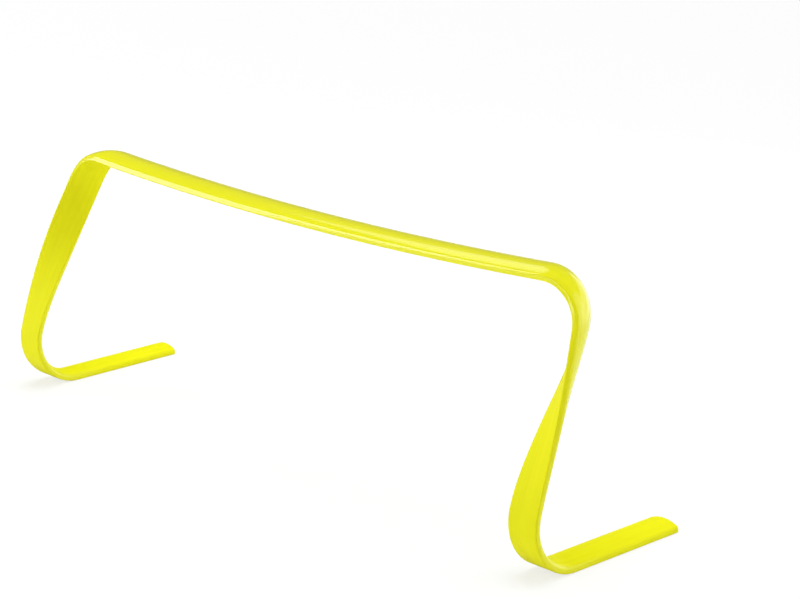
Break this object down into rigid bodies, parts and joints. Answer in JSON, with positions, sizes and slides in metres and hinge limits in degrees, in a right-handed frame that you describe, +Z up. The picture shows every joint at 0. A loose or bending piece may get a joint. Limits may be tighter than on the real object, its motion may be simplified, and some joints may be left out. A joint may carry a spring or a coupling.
{
  "type": "speed hurdle",
  "caption": "Low training hurdle: a crowned flat plastic strip bent into a crossbar, twisted legs and floor feet, springy at the heels.",
  "frame": {"origin": "on the floor, in the middle of the rectangle that the hurdle covers", "axes": "+X along the crossbar to its right end, +Y the way the feet point, +Z up from the floor"},
  "size_m": [0.4648, 0.1062, 0.15],
  "materials": {
    "yellow_plastic": "glossy, extruded"
  },
  "bodies": {
    "left_foot": {"left_foot": "yellow_plastic", "left_heel": "yellow_plastic"},
    "frame": {"crossbar": "yellow_plastic", "left_corner": "yellow_plastic", "right_corner": "yellow_plastic", "left_leg": "yellow_plastic", "right_leg": "yellow_plastic"},
    "right_foot": {"right_foot": "yellow_plastic", "right_heel": "yellow_plastic"}
  },
  "joints": [
    {"name": "left_heel_flex", "type": "hinge", "parent": "left_foot", "child": "frame", "pos_m": [-0.2223, -0.04202, 0.01549], "axis": [1, 0, 0], "range_deg": [-40, 20], "stiffness_Nm_per_rad": 3, "deforming": ["left_heel"]},
    {"name": "right_heel_flex", "type": "hinge", "parent": "frame", "child": "right_foot", "pos_m": [0.2223, -0.04202, 0.01549], "axis": [1, 0, 0], "range_deg": [-20, 40], "stiffness_Nm_per_rad": 3, "deforming": ["right_heel"]}
  ],
  "couplings": [
    {"joint": "right_heel_flex", "follows": "left_heel_flex", "ratio": -1}
  ]
}
